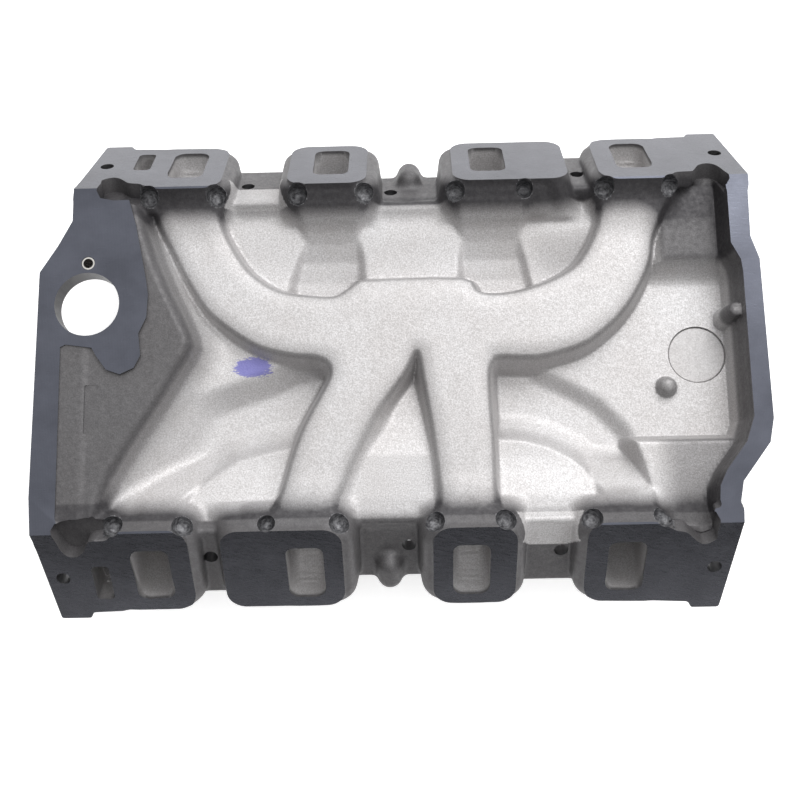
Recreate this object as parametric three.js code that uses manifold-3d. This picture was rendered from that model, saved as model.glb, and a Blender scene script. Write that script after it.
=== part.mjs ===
// Cast aluminium dual-plane intake manifold for a 90 degree V8 with a front distributor.
// It stands on its carburettor face: +Z points to the engine's valley, +X to the rear of the engine,
// and the origin is the middle of the carburettor face. Millimetres.
import * as THREE from "three";
import { mergeVertices } from "three/addons/utils/BufferGeometryUtils.js";
import Module from "manifold-3d";

const wasm = await Module();
wasm.setup();

// ---------- Driving dimensions ----------
const RAIL_HEIGHT = 124; // carburettor face to the machined end rails
const FACE_FOOT_Y = 140.7; // where the cylinder-head face meets the rail plane, from the centre line
const FACE_ANGLE = Math.PI / 4; // head face against the rail plane
const PORT_PAIR = 121.3; // ports 1-2 and 3-4
const PORT_MIDDLE = 131; // ports 2-3
const BANK_SHIFT = 11.15; // the banks are staggered this far fore and aft of the centre
const PORT_WIDTH = 29.4;
const PORT_HEIGHT = 50.2;
const PORT_SLOPE = 43.3; // port centre below the rail plane, measured down the head face
const PAD_HEIGHT = 80; // machined pads, down the head face
const PAD_DEPTH = 36; // thickness of a pad block behind its face
const PAD_FLARE = 0.26; // a pad block grows this much wider towards its root
const TAB_RECESS = 26; // the bolting flange lies this far behind the pad faces
const TAB_THICKNESS = 11;
const RAIL_THICKNESS = 15;
const WALL = 5.5; // cast wall of the ducts
const FLOOR_DEPTH = 45; // valley floor under the rail plane, along the centre line
const FLOOR_THICKNESS = 8;
const LOWER_PLANE = { depth: 38, width: 52, height: 44, throat: 12 }; // next to the valley
const UPPER_PLANE = { depth: 84, width: 44, height: 38, throat: 32 }; // next to the carburettor
const CROSSOVER_DEPTH = 2; // water crossover's underside, under the rail plane
const DISTRIBUTOR = { x: -249, y: 43, radius: 26, bossRadius: 33, bossDepth: 18 };
const CLAMP_SCREW = { x: -249, y: 77 };
const THERMOSTAT = { x: -199, y: -4, bore: 22, bossRadius: 33, flangeDepth: 96, screwSpacing: 84 };
const VALLEY = RAIL_HEIGHT - FLOOR_DEPTH; // height of the valley floor
const CORE_PLUG = { x: 246, y: 1, radius: 23.6, thickness: 5 };
const CORE_PIN_BOSS = { x: 219, y: -26, radius: 8, height: 7 };
const CARB = { length: 166, width: 156, thickness: 14, boltX: 142.9, boltY: 131 };
const PLENUM = { halfLength: 48, inner: 3.5, outer: 50, upperRoof: 80 };
const GAP = 0.3; // clearance between pieces that touch
const BOLT_HOLE_RADIUS = 5.6;
const FACET_TOLERANCE = 0.3;

const PORTS_PLUS_Y = [-1, 1].flatMap((side) => {
  const inner = side * PORT_MIDDLE / 2;
  const outer = inner + side * PORT_PAIR;
  return [inner, outer].sort((a, b) => a - b).map((x) => x + BANK_SHIFT);
});

// ---------- Solids ----------
function solid(geometry) {
  const bare = geometry.clone();
  bare.deleteAttribute("normal");
  bare.deleteAttribute("uv");
  const merged = mergeVertices(bare, 1e-3);
  const mesh = new wasm.Mesh({
    numProp: 3,
    vertProperties: merged.attributes.position.array,
    triVerts: new Uint32Array(merged.index.array),
  });
  return new wasm.Manifold(mesh);
}

function geometryOf(body) {
  const mesh = body.getMesh();
  const geometry = new THREE.BufferGeometry();
  geometry.setAttribute("position", new THREE.BufferAttribute(mesh.vertProperties, 3));
  geometry.setIndex(new THREE.BufferAttribute(mesh.triVerts, 1));
  return geometry;
}

const join = (bodies) => bodies.reduce((whole, body) => whole.add(body));
const cut = (body, tools) => tools.reduce((rest, tool) => rest.subtract(tool), body);

// The largest connected skin of a body, without facets finer than the tolerance: small voids that
// stay sealed between crossing ducts are solid metal in the casting.
function oneSkin(body, tolerance) {
  const skins = body.asOriginal().simplify(tolerance).decompose();
  return skins.reduce((largest, skin) => (skin.volume() > largest.volume() ? skin : largest));
}

function outline(points) {
  return new THREE.Shape(points.map(([x, y]) => new THREE.Vector2(x, y)));
}

// A rectangle from (x0, y0) to (x1, y1) with corners of radius r.
function roundedRectangle(x0, y0, x1, y1, r) {
  const shape = new THREE.Shape();
  shape.absarc(x1 - r, y0 + r, r, -Math.PI / 2, 0);
  shape.absarc(x1 - r, y1 - r, r, 0, Math.PI / 2);
  shape.absarc(x0 + r, y1 - r, r, Math.PI / 2, Math.PI);
  shape.absarc(x0 + r, y0 + r, r, Math.PI, Math.PI * 1.5);
  return shape;
}

// A shape in the XY plane made solid between two heights.
function slab(shape, bottom, top, curveSegments = 2) {
  return new THREE.ExtrudeGeometry(shape, { depth: top - bottom, bevelEnabled: false, curveSegments })
    .translate(0, 0, bottom);
}

function post(x, y, radius, bottom, top, steps = 14) {
  return new THREE.CylinderGeometry(radius, radius, top - bottom, steps)
    .rotateX(Math.PI / 2)
    .translate(x, y, (bottom + top) / 2);
}

// Joins rings with the same number of points into one closed skin.
function loft(rings) {
  const count = rings[0].length;
  const positions = rings.flat().flatMap((p) => [p.x, p.y, p.z]);
  const index = [];
  for (let ring = 0; ring < rings.length - 1; ring++) {
    for (let i = 0; i < count; i++) {
      const a = ring * count + i;
      const b = ring * count + ((i + 1) % count);
      index.push(a, b, b + count, a, b + count, a + count);
    }
  }
  const last = (rings.length - 1) * count;
  for (let i = 1; i < count - 1; i++) {
    index.push(0, i + 1, i);
    index.push(last, last + i, last + i + 1);
  }
  const geometry = new THREE.BufferGeometry();
  geometry.setAttribute("position", new THREE.Float32BufferAttribute(positions, 3));
  geometry.setIndex(index);
  return geometry;
}

// A rectangle with its corners cut, from its half width and half height.
function ductSection(w, h) {
  const corner = Math.min(w, h) * 0.4;
  const quarter = [[w, h - corner], [w - corner, h]];
  const mirrored = (points, sx, sy) => points.map(([x, y]) => [x * sx, y * sy]);
  const turned = [...quarter].reverse();
  return [...quarter, ...mirrored(turned, -1, 1), ...mirrored(quarter, -1, -1), ...mirrored(turned, 1, -1)];
}

// A duct along a smooth line; its width and height change evenly from the start to the end.
function duct(points, start, end, steps) {
  const line = new THREE.CatmullRomCurve3(points.map(([x, y, z]) => new THREE.Vector3(x, y, z)));
  const vertical = new THREE.Vector3(0, 0, 1);
  const rings = [];
  for (let step = 0; step <= steps; step++) {
    const t = step / steps;
    const centre = line.getPoint(t);
    const side = new THREE.Vector3().crossVectors(vertical, line.getTangent(t)).normalize();
    const up = new THREE.Vector3().crossVectors(line.getTangent(t), side).normalize();
    const blend = Math.min(1, t * 1.6);
    const width = THREE.MathUtils.lerp(start.width, end.width, blend);
    const height = THREE.MathUtils.lerp(start.height, end.height, blend);
    rings.push(ductSection(width / 2, height / 2)
      .map(([x, y]) => centre.clone().addScaledVector(side, x).addScaledVector(up, y)));
  }
  return loft(rings);
}

// ---------- Placing on the two head faces ----------
// Face coordinates: x fore and aft, y down the slope from the rail plane, z out of the face.
const FACE_PLACE = new THREE.Matrix4()
  .makeRotationX(-FACE_ANGLE)
  .setPosition(0, FACE_FOOT_Y, RAIL_HEIGHT);
const onFace = (geometry) => solid(geometry.applyMatrix4(FACE_PLACE));
const bothBanks = (body) => [body, body.rotate([0, 0, 180])];

function facePoint(x, slope, depth) {
  return new THREE.Vector3(x, slope, -depth).applyMatrix4(FACE_PLACE).toArray();
}

// A pad block whose two ends slope outwards towards its root.
function padBlock(shape, middleX) {
  const geometry = slab(shape, -PAD_DEPTH, 0);
  const position = geometry.attributes.position;
  for (let i = 0; i < position.count; i++) {
    const widen = 1 - (position.getZ(i) / PAD_DEPTH) * PAD_FLARE;
    position.setX(i, middleX + (position.getX(i) - middleX) * widen);
  }
  return onFace(geometry);
}

// ---------- Head flange, described for the +Y bank ----------
function narrowEndOutline() {
  const front = [
    [-262.9, 0],
    [-240, 0],
    [-243, 17],
    [-235, 21.5],
    [-228, 18],
    [-220, 9.5],
    [-209, 6],
    [-200, 0],
    [-151, 0],
  ];
  const shape = outline(front);
  shape.quadraticCurveTo(-145.4, 1, -145.3, 10);
  shape.lineTo(-145.3, 63);
  shape.quadraticCurveTo(-146, 77, -157, 78.5);
  shape.lineTo(-229, 83);
  shape.lineTo(-232.5, 89.5);
  shape.lineTo(-254.8, 89.5);
  return shape;
}

function wideEndOutline() {
  const rear = [
    [286, 0],
    [279, 89.5],
    [255, 89.5],
    [252, 83.5],
    [228, 82.5],
    [221, 80.5],
    [181, 80],
  ];
  const shape = outline(rear);
  shape.quadraticCurveTo(170, 79, 168.4, 66);
  shape.lineTo(168.4, 12);
  shape.quadraticCurveTo(169, 1, 178, 0);
  shape.lineTo(219, 0);
  const scallop = [[228, 7], [243, 8], [249, 19], [257, 23.5], [264, 20], [268.5, 0]];
  scallop.forEach(([x, y]) => shape.lineTo(x, y));
  return shape;
}

// The end outlines also carry a thinner plate out to the corner of the flange.
function endFlange(shape, blockFrom, blockTo) {
  const plate = onFace(slab(shape, -RAIL_THICKNESS, 0));
  const face = roundedRectangle(blockFrom, 0, blockTo, PAD_HEIGHT, 14);
  return plate.add(padBlock(face, (blockFrom + blockTo) / 2));
}

const MIDDLE_PADS = [
  { from: -89.5, to: -24.3 },
  { from: 47, to: 141.5 }, // wide: it also blanks the head's heat-riser port
];
const TAB_HOLES = [
  { x: -127, slope: 43, recess: 19 },
  { x: -5, slope: 42, recess: 28 },
  { x: 153, slope: 37, recess: 13 },
];
const CORNER_HOLES = [-245.5, 269.5].map((x) => ({ x, slope: 45.5 }));

function headFlange() {
  const tabShape = roundedRectangle(-160, 10, 182, 75.5, 4);
  const tab = onFace(slab(tabShape, -TAB_RECESS - TAB_THICKNESS, -TAB_RECESS));
  const pads = MIDDLE_PADS.map(({ from, to }) =>
    padBlock(roundedRectangle(from, 0, to, PAD_HEIGHT, 15), (from + to) / 2));
  const lug = onFace(slab(roundedRectangle(1, 56, 21, 82, 9.9), -TAB_RECESS - TAB_THICKNESS, -15));
  const ends = [endFlange(narrowEndOutline(), -205, -145.3), endFlange(wideEndOutline(), 168.4, 228)];
  return join([tab, ...pads, lug, ...ends]);
}

function faceHole({ x, slope }, radius, depth) {
  const hole = post(x, slope, radius, -depth, 5);
  return onFace(hole);
}

// ---------- End rails ----------
const FRONT_EDGE = [[-263, 141], [-263, 113], [-274, 92], [-288, 70], [-289, -121], [-287, -141]];
const CROSSOVER_RIDGE = [
  [-241, -141],
  [-236, -111],
  [-215, -69],
  [-178, -9],
  [-170, 3],
  [-168, 12],
  [-175, 29],
  [-198, 79],
  [-212, 128],
  [-214, 141],
];
const REAR_OUTER = [
  [285, 141],
  [284, 88],
  [290, 69],
  [291, -60],
  [287, -79],
  [264, -109],
  [261, -124],
  [262, -141],
];
const REAR_INNER = [
  [249, -141],
  [245, -123],
  [246, -112],
  [269, -78],
  [276, -58],
  [276, 60],
  [269, 80],
  [268, 141],
];
const WALL_BEHIND = 9; // thickness of the rear wall under its rail

function frontRail() {
  const edge = outline([...FRONT_EDGE, ...CROSSOVER_RIDGE]);
  const plate = slab(edge, RAIL_HEIGHT - RAIL_THICKNESS, RAIL_HEIGHT);
  const boss = post(DISTRIBUTOR.x, DISTRIBUTOR.y, DISTRIBUTOR.bossRadius,
    RAIL_HEIGHT - DISTRIBUTOR.bossDepth, RAIL_HEIGHT - 1, 24);
  return solid(plate).add(solid(boss));
}

// The crossover's underside is as cast, a little below the machined front rail.
function crossoverStep() {
  const machined = [
    [-240, 0],
    [-244, 8],
    [-268, 8],
    [-268, -150],
    [-150, -150],
    [-150, 150],
    [-222, 150],
    [-211, 108],
    [-201, 55],
    [-201, 31],
    [-206, 0],
    [-214, -13],
    [-229, -13],
  ];
  return solid(slab(outline(machined), RAIL_HEIGHT - CROSSOVER_DEPTH, RAIL_HEIGHT + 5));
}

function rearRail() {
  const rail = slab(outline([...REAR_OUTER, ...REAR_INNER]), RAIL_HEIGHT - RAIL_THICKNESS, RAIL_HEIGHT);
  const behind = [...REAR_INNER].reverse().map(([x, y]) => [x + WALL_BEHIND, y]);
  const wall = slab(outline([...behind, ...REAR_INNER]), VALLEY - FLOOR_THICKNESS, RAIL_HEIGHT - 1);
  return solid(rail).add(solid(wall));
}

// ---------- Valley floor ----------
function valleyFloor() {
  const half = [[0, FLOOR_DEPTH], [70, FLOOR_DEPTH], [95, 38], [118, 29], [132, 27]];
  const top = [...half].reverse().map(([y, depth]) => [-y, RAIL_HEIGHT - depth]);
  half.slice(1).forEach(([y, depth]) => top.push([y, RAIL_HEIGHT - depth]));
  const underside = [...top].reverse().map(([y, z]) => [y, z - FLOOR_THICKNESS]);
  const section = outline([...top, ...underside].reverse());
  const length = 274 + 222;
  const floor = new THREE.ExtrudeGeometry(section, { depth: length, bevelEnabled: false })
    .rotateY(Math.PI / 2)
    .rotateX(Math.PI / 2)
    .translate(-222, 0, 0);
  const rearBlockDepth = 25;
  const rearBlocks = [
    [[212, 82], [272, 82], [272, 134], [222, 134]],
    [[192, -134], [252, -134], [252, -112], [268, -84], [268, -69], [186, -69]],
  ];
  const raised = rearBlocks.map((points) =>
    solid(slab(outline(points), VALLEY, RAIL_HEIGHT - rearBlockDepth)));
  // The floor reaches out under the end flanges, where no bolting flange closes it.
  const shelfTop = RAIL_HEIGHT - 27;
  const shelves = [[228, 283], [-261, -205]].map(([from, to]) =>
    block(from, 118, shelfTop - FLOOR_THICKNESS, to, 150, shelfTop, 3));
  return join([solid(floor), ...raised, ...shelves.flatMap(bothBanks)]);
}

// ---------- Runners ----------
// Each route runs from its port to its plenum; the last numbers are depths under the rail plane.
function routes() {
  const low = LOWER_PLANE.depth;
  const high = UPPER_PLANE.depth;
  const [t1, t2, t3, t4] = PORTS_PLUS_Y;
  const [b1, b2, b3, b4] = PORTS_PLUS_Y.map((x) => -x).reverse();
  return [
    lowerRoute(t1, 1, [[-172, 120, low + 1], [-156, 74, low], [-116, 36, low], [-50, 32, low]]),
    upperRoute(t2, 1, [[-57, 98, 72], [-70, 56, high], [-72, 12, high], [-34, -26, high]]),
    upperRoute(t3, 1, [[76, 98, 72], [76, 56, high], [73, 12, high], [34, -26, high]]),
    lowerRoute(t4, 1, [[194, 120, low + 1], [178, 68, low], [140, 34, low], [60, 32, low]]),
    upperRoute(b1, -1, [[-184, -96, 70], [-158, -70, 76], [-112, -52, high - 2], [-34, -30, high]]),
    lowerRoute(b2, -1, [[-76, -120, low + 1], [-62, -72, low], [-40, -32, low], [-12, 30, low]]),
    lowerRoute(b3, -1, [[54, -120, low + 1], [51, -72, low], [48, -32, low], [44, 30, low]]),
    upperRoute(b4, -1, [[168, -96, 70], [148, -72, 76], [106, -48, high - 2], [34, -30, high]]),
  ];
}

const lowerRoute = (port, bank, via) => ({ port, bank, via, plane: LOWER_PLANE });
const upperRoute = (port, bank, via) => ({ port, bank, via, plane: UPPER_PLANE });

function route({ port, bank, plane, via }) {
  const mouth = facePoint(port, PORT_SLOPE, 0);
  const throat = facePoint(port, PORT_SLOPE, plane.throat);
  const inside = via.map(([x, y, depth]) => [x, y, RAIL_HEIGHT - depth]);
  const towards = ([x, y, z]) => [x, y * bank, z];
  return { mouth: towards(mouth), throat: towards(throat), inside };
}

function runner(spec) {
  const { mouth, throat, inside } = route(spec);
  const { width, height } = spec.plane;
  const back = new THREE.Vector3(...mouth).lerp(new THREE.Vector3(...throat), 0.55).toArray();
  const steps = 7;
  const shell = duct([back, throat, ...inside],
    { width: PORT_WIDTH + 22, height: PORT_HEIGHT + 12 }, { width, height }, steps);
  const out = new THREE.Vector3(...throat).lerp(new THREE.Vector3(...mouth), 1.3).toArray();
  const passage = duct([out, throat, ...inside],
    { width: PORT_WIDTH, height: PORT_HEIGHT },
    { width: width - 2 * WALL, height: height - 2 * WALL }, steps + 1);
  return { shell: solid(shell), passage: solid(passage) };
}

// ---------- Plenums and carburettor flange ----------
function block(x0, y0, z0, x1, y1, z1, corner = 8) {
  return solid(slab(roundedRectangle(x0, y0, x1, y1, corner), z0, z1));
}

function plenumShell() {
  const roof = RAIL_HEIGHT - LOWER_PLANE.depth + LOWER_PLANE.height / 2;
  const { halfLength, outer, upperRoof } = PLENUM;
  const outside = halfLength + WALL;
  return join([
    block(-outside, -outer - WALL, 4, outside, outer + WALL, RAIL_HEIGHT - upperRoof + WALL),
    block(-outside, -4, 4, outside, outer + WALL, roof),
    block(-62, -5, roof - LOWER_PLANE.height, 80, 70, roof, 12),
    solid(slab(roundedRectangle(-CARB.length / 2, -CARB.width / 2, CARB.length / 2, CARB.width / 2, 16),
      0, CARB.thickness)),
  ]);
}

function plenumHollows() {
  const roof = RAIL_HEIGHT - LOWER_PLANE.depth + LOWER_PLANE.height / 2 - WALL;
  const { halfLength, inner, outer, upperRoof } = PLENUM;
  return [
    block(-halfLength, inner, -5, halfLength, outer, roof),
    block(-halfLength, -outer, -5, halfLength, -inner, RAIL_HEIGHT - upperRoof),
    block(-57.5, -0.5, roof - LOWER_PLANE.height + 2 * WALL, 75.5, 65.5, roof, 10),
  ];
}

const CARB_BOLTS = [[-1, -1], [1, -1], [1, 1], [-1, 1]]
  .map(([sx, sy]) => [sx * CARB.boltX / 2, sy * CARB.boltY / 2]);

// ---------- Water crossover ----------
const WATER_SLOTS = [
  { bank: 1, x: -215, from: 36, to: 70, width: 13 },
  { bank: -1, x: -239, from: 33.5, to: 69, width: 10.5 },
];

function waterRoute(end) {
  const [plus, minus] = WATER_SLOTS;
  const mouthOf = (slot, depth) => {
    const [x, y, z] = facePoint(slot.x, (slot.from + slot.to) / 2, depth);
    return [x, y * slot.bank, z];
  };
  const middle = RAIL_HEIGHT - 31;
  return [
    mouthOf(plus, -end),
    mouthOf(plus, 22),
    [-212, 116, middle - 22],
    [-198, 62, middle],
    [-194, -4, middle],
    [-215, -62, middle],
    [-238, -116, middle - 22],
    mouthOf(minus, 22),
    mouthOf(minus, -end),
  ];
}

function crossover() {
  const passageBody = new THREE.CatmullRomCurve3(waterRoute(-14).map((p) => new THREE.Vector3(...p)));
  const reach = passageBody.getPoints(8).map((p) => p.toArray());
  const shell = solid(duct(reach, { width: 46, height: 42 }, { width: 46, height: 42 }, 14));
  const front = [[-262, 141], [-262, 112], [-222, 12], [-268, 4], [-280, -10], [-280, -141]];
  const skirt = outline([...front, ...CROSSOVER_RIDGE]);
  const behind = CROSSOVER_RIDGE.map(([x, y]) => [x - 12, y]).reverse();
  const wall = outline([...CROSSOVER_RIDGE, ...behind]);
  const ridge = solid(slab(wall, VALLEY - FLOOR_THICKNESS, RAIL_HEIGHT - 3));
  const roof = solid(slab(skirt, RAIL_HEIGHT - 14, RAIL_HEIGHT - 3));
  return join([shell, ridge, roof, thermostatBoss()]);
}

function thermostatBoss() {
  const { x, y, bossRadius, flangeDepth, screwSpacing } = THERMOSTAT;
  const barrel = solid(post(x, y, bossRadius, RAIL_HEIGHT - flangeDepth, RAIL_HEIGHT - 8, 24));
  const half = screwSpacing / 2;
  const flange = roundedRectangle(x - 13, y - half - 12, x + 13, y + half + 12, 12.5);
  return barrel.add(solid(slab(flange, RAIL_HEIGHT - flangeDepth, RAIL_HEIGHT - flangeDepth + 16)));
}

function waterPassages() {
  const { x, y, bore, flangeDepth } = THERMOSTAT;
  const way = duct(waterRoute(8), { width: 13, height: 34 }, { width: 13, height: 34 }, 12);
  const chamber = post(x, y, bore, RAIL_HEIGHT - flangeDepth - 5, RAIL_HEIGHT - 22, 24);
  return [solid(way), solid(chamber)];
}

// ---------- Screwed and pressed pieces ----------
const INSERTS = [
  ...CARB_BOLTS.map(([x, y], i) => ({
    name: "carburettor_thread_insert_" + (i + 1), x, y, radius: 5.2, bore: 4, bottom: 0.4, length: 12,
  })),
  ...[-1, 1].map((side, i) => ({
    name: "thermostat_thread_insert_" + (i + 1),
    x: THERMOSTAT.x,
    y: THERMOSTAT.y + side * THERMOSTAT.screwSpacing / 2,
    radius: 5.2,
    bore: 4,
    bottom: RAIL_HEIGHT - THERMOSTAT.flangeDepth + 0.4,
    length: 12,
  })),
  {
    name: "distributor_clamp_thread_insert",
    x: CLAMP_SCREW.x, y: CLAMP_SCREW.y, radius: 5.2, bore: 4, bottom: RAIL_HEIGHT - 14, length: 13.6,
  },
];

function insertGeometry({ radius, bore, length }) {
  const profile = [[bore, 0], [radius, 0], [radius, length], [bore, length], [bore, 0]];
  return new THREE.LatheGeometry(profile.map(([r, h]) => new THREE.Vector2(r, h)), 20).rotateX(Math.PI / 2);
}

function insertHole({ x, y, radius, bottom, length }, deep) {
  return solid(post(x, y, radius + GAP, bottom - (deep ? GAP : 3), bottom + length + (deep ? 3 : GAP)));
}

// Threaded bosses on the carburettor side, each closed by a socket-head pipe plug that points down.
const PIPE_PLUGS = [
  { name: "temperature_sender_plug", x: -222, y: -70, bottom: 60, top: 82, radius: 9.5 },
  { name: "heater_outlet_plug", x: -205, y: 70, bottom: 60, top: 82, radius: 11.5 },
  { name: "front_vacuum_plug", x: -118, y: 34, bottom: 36, top: 56, radius: 8 },
  { name: "rear_vacuum_plug", x: 122, y: 34, bottom: 36, top: 56, radius: 9.5 },
];
const BOSS_WALL = 5.5;
const PLUG_LENGTH = 10;

const plugBoss = ({ x, y, bottom, top, radius }) => solid(post(x, y, radius + BOSS_WALL, bottom, top));
const plugSeat = ({ x, y, bottom, radius }) =>
  solid(post(x, y, radius + GAP, bottom - 3, bottom + PLUG_LENGTH + GAP));

function plugGeometry({ radius }) {
  const bevel = 1.2;
  const body = [[0, 0], [radius - bevel, 0], [radius, bevel], [radius, PLUG_LENGTH], [0, PLUG_LENGTH]];
  const profile = body.map(([r, h]) => new THREE.Vector2(r, h));
  const turned = new THREE.LatheGeometry(profile, 24).rotateX(Math.PI / 2);
  const key = new THREE.CylinderGeometry(radius * 0.55, radius * 0.55, 12, 6).rotateX(Math.PI / 2);
  return geometryOf(solid(turned).subtract(solid(key)));
}

const NIPPLE = { y: -4, depth: 70, radius: 9.5, bore: 7.5, seat: -224, tip: -268 };

function nippleGeometry() {
  const { radius, bore, seat, tip } = NIPPLE;
  const length = seat - tip;
  const bead = 1.6;
  const profile = [
    [bore, 0],
    [radius, 0],
    [radius, length - 9],
    [radius + bead, length - 7],
    [radius, length - 4.5],
    [radius - 0.6, length],
    [bore, length],
    [bore, 0],
  ];
  return new THREE.LatheGeometry(profile.map(([r, h]) => new THREE.Vector2(r, h)), 24);
}

function nippleSeat() {
  const length = 12;
  return solid(new THREE.CylinderGeometry(NIPPLE.radius + GAP, NIPPLE.radius + GAP, length, 24)
    .rotateZ(Math.PI / 2)
    .translate(NIPPLE.seat + GAP - length / 2, NIPPLE.y, RAIL_HEIGHT - NIPPLE.depth));
}

function nippleBore() {
  const length = 30;
  return solid(new THREE.CylinderGeometry(NIPPLE.bore, NIPPLE.bore, length, 20)
    .rotateZ(Math.PI / 2)
    .translate(NIPPLE.seat + length / 2, NIPPLE.y, RAIL_HEIGHT - NIPPLE.depth));
}

function corePlugGeometry() {
  const { radius, thickness } = CORE_PLUG;
  const profile = [
    [0, 0],
    [radius - 0.8, 0],
    [radius, 0.8],
    [radius, thickness - 1],
    [radius - 1, thickness],
    [0, thickness],
  ];
  return new THREE.LatheGeometry(profile.map(([r, h]) => new THREE.Vector2(r, h)), 36).rotateX(Math.PI / 2);
}

const CORE_PLUG_SEAT = VALLEY - CORE_PLUG.thickness + 0.4;

function corePinBoss() {
  const { x, y, radius, height } = CORE_PIN_BOSS;
  return solid(post(x, y, radius, VALLEY - 2, VALLEY + height));
}

// ---------- Whole casting ----------
function casting() {
  const runners = routes().map(runner);
  const shells = join([
    ...bothBanks(headFlange()),
    frontRail(),
    rearRail(),
    valleyFloor(),
    crossover(),
    plenumShell(),
    ...runners.map((r) => r.shell),
    ...PIPE_PLUGS.map(plugBoss),
    solid(post(CORE_PLUG.x, CORE_PLUG.y, CORE_PLUG.radius + 6, VALLEY - 14, VALLEY - 0.5, 24)),
    corePinBoss(),
  ]);
  const tabHoles = TAB_HOLES.map((hole) => faceHole(hole, BOLT_HOLE_RADIUS, 60));
  const cornerHoles = CORNER_HOLES.map((hole) => faceHole(hole, BOLT_HOLE_RADIUS, 60));
  const slots = WATER_SLOTS.map(({ bank, x, from, to, width }) => {
    const slot = onFace(slab(roundedRectangle(x - width / 2, from, x + width / 2, to, 4), -24, 5));
    return bank > 0 ? slot : slot.mirror([0, 1, 0]);
  });
  const machined = cut(shells, [
    crossoverStep(),
    outsideOfFaces(),
    ...runners.map((r) => r.passage),
    ...plenumHollows(),
    ...[...tabHoles, ...cornerHoles].flatMap(bothBanks),
    ...slots,
    ...waterPassages(),
    solid(post(DISTRIBUTOR.x, DISTRIBUTOR.y, DISTRIBUTOR.radius, 0, RAIL_HEIGHT + 5, 36)),
    ...INSERTS.map((insert) => insertHole(insert, insert.name.startsWith("distributor"))),
    ...PIPE_PLUGS.map(plugSeat),
    nippleSeat(),
    nippleBore(),
    solid(post(CORE_PLUG.x, CORE_PLUG.y, CORE_PLUG.radius + GAP, CORE_PLUG_SEAT - GAP, RAIL_HEIGHT, 36)),
    solid(slab(roundedRectangle(-300, -220, 300, 220, 5), RAIL_HEIGHT, RAIL_HEIGHT + 20)),
  ]);
  return oneSkin(machined, FACET_TOLERANCE);
}

// Everything past the two machined head faces is milled away.
function outsideOfFaces() {
  const beyond = () => onFace(slab(roundedRectangle(-320, -60, 320, 200, 5), 0, 60));
  return beyond().add(beyond().rotate([0, 0, 180]));
}

// ---------- Scene graph ----------
function material(color, roughness, metalness = 0.9) {
  return new THREE.MeshStandardMaterial({ color, roughness, metalness });
}

function piece(name, geometry, finish) {
  const mesh = new THREE.Mesh(geometry, finish);
  mesh.name = name;
  return mesh;
}

const manifold = new THREE.Group();
manifold.add(piece("manifold_casting", geometryOf(casting()), material(0xb4b1b2, 0.55)));

INSERTS.forEach((insert) => {
  const mesh = piece(insert.name, insertGeometry(insert), material(0xc9c6bd, 0.3));
  mesh.position.set(insert.x, insert.y, insert.bottom);
  manifold.add(mesh);
});

PIPE_PLUGS.forEach((plug) => {
  const mesh = piece(plug.name, plugGeometry(plug), material(0x8f8a80, 0.4));
  mesh.position.set(plug.x, plug.y, plug.bottom);
  manifold.add(mesh);
});

const nipple = piece("bypass_hose_nipple", nippleGeometry(), material(0xb8b4a6, 0.35));
nipple.position.set(NIPPLE.seat, NIPPLE.y, RAIL_HEIGHT - NIPPLE.depth);
nipple.rotation.z = Math.PI / 2;
manifold.add(nipple);

const corePlug = piece("rear_core_plug", corePlugGeometry(), material(0xcac8cb, 0.5));
corePlug.position.set(CORE_PLUG.x, CORE_PLUG.y, CORE_PLUG_SEAT);
manifold.add(corePlug);

export default manifold;
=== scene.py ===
"""Looks for the cast aluminium V8 intake manifold.

The casting is built as a distance field in millimetres, in the part's own frame, then polygonised, and its
machined faces, ports and holes are cut with sharp edges. The screwed and pressed pieces are the CAD nodes.
"""

import math

import bmesh
import bpy
import numpy as np
import openvdb
from mathutils import Matrix, Vector


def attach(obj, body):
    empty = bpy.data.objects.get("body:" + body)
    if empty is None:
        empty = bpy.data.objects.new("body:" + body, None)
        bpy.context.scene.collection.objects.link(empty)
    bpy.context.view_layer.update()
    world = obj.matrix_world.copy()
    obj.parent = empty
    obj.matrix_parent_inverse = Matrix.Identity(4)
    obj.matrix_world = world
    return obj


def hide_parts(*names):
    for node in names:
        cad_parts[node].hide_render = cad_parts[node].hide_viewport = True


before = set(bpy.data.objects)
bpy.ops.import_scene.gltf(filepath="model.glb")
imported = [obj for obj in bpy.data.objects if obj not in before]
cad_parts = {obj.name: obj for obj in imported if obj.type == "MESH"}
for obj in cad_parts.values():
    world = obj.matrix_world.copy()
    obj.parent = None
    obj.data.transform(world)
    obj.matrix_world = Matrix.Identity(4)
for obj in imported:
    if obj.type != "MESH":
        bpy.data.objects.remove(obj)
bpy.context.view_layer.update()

# ---------- Driving dimensions, millimetres ----------
STEP = 1.5  # spacing of the distance field
RAIL = 124.0  # carburettor face to the machined end rails
FOOT_Y = 140.7  # where a head face meets the rail plane
C45 = math.sqrt(0.5)
WALL = 5.5  # cast wall round the ducts
PORTS_PLUS_Y = (-175.65, -54.35, 76.65, 197.95)
PORT_HALF = (14.7, 25.1)
PORT_SLOPE = 43.3
PAD_DEPTH = 36.0
PAD_FLARE = 0.26
DISTRIBUTOR = (-249.0, 43.0, 26.0)
CORE_PLUG = (246.0, 1.0, 23.6)
THERMOSTAT = (-199.0, -4.0)
PLUGS = [  # x, y, radius of the boss and of the bore, height of the seat, top of the boss
    (-222, -70, 15, 9.5, 70, 88),
    (-205, 70, 17, 11.5, 70, 88),
    (-118, 34, 13.5, 8, 46, 66),
    (122, 34, 15, 9.5, 46, 66),
]
STUD_HALF = (71.45, 65.5)  # half the carburettor stud pattern
STUD_RADIUS = 5.5
GAP = 0.3  # left round each screwed or pressed piece
MM = 0.001
FAR = 40.0  # distance kept where nothing is near
REACH = 20.0  # how far round a box or post the field is worked out
DUCT_REACH = 18.0
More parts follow.
